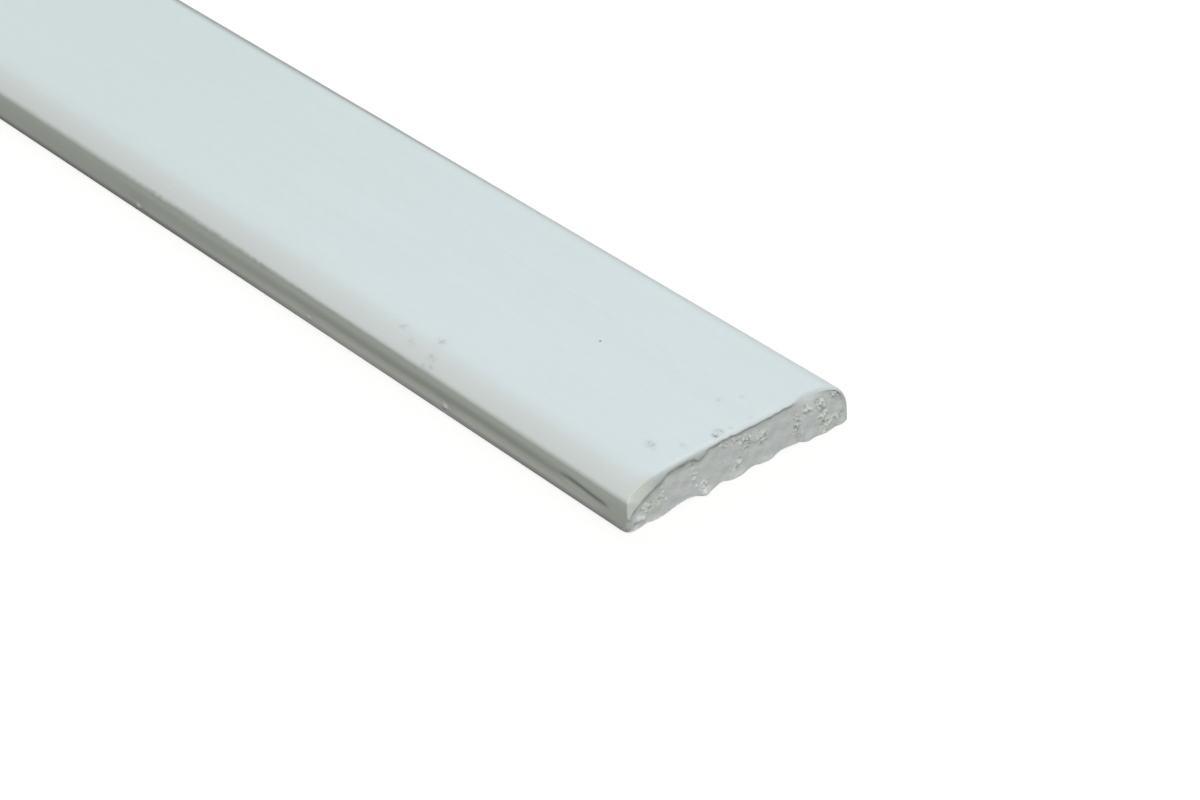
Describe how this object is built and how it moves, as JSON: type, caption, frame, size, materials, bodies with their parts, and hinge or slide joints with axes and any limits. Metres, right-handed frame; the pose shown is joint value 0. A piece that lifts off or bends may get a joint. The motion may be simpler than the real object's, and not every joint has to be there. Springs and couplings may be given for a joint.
{
  "type": "primed softwood architrave",
  "caption": "Straight length of white-primed softwood trim, flat on the back, with a swept face, a thin front edge and a rounded back edge.",
  "frame": {"origin": "middle of the flat back face, which lies on the surface the board rests on", "axes": "+X along the board towards the primed saw cut, +Y across it towards the rounded back edge, +Z out of the face"},
  "size_m": [2.1, 0.069, 0.012],
  "materials": {
    "white_primer": "satin"
  },
  "bodies": {
    "root": {"architrave": "white_primer"}
  },
  "joints": []
}
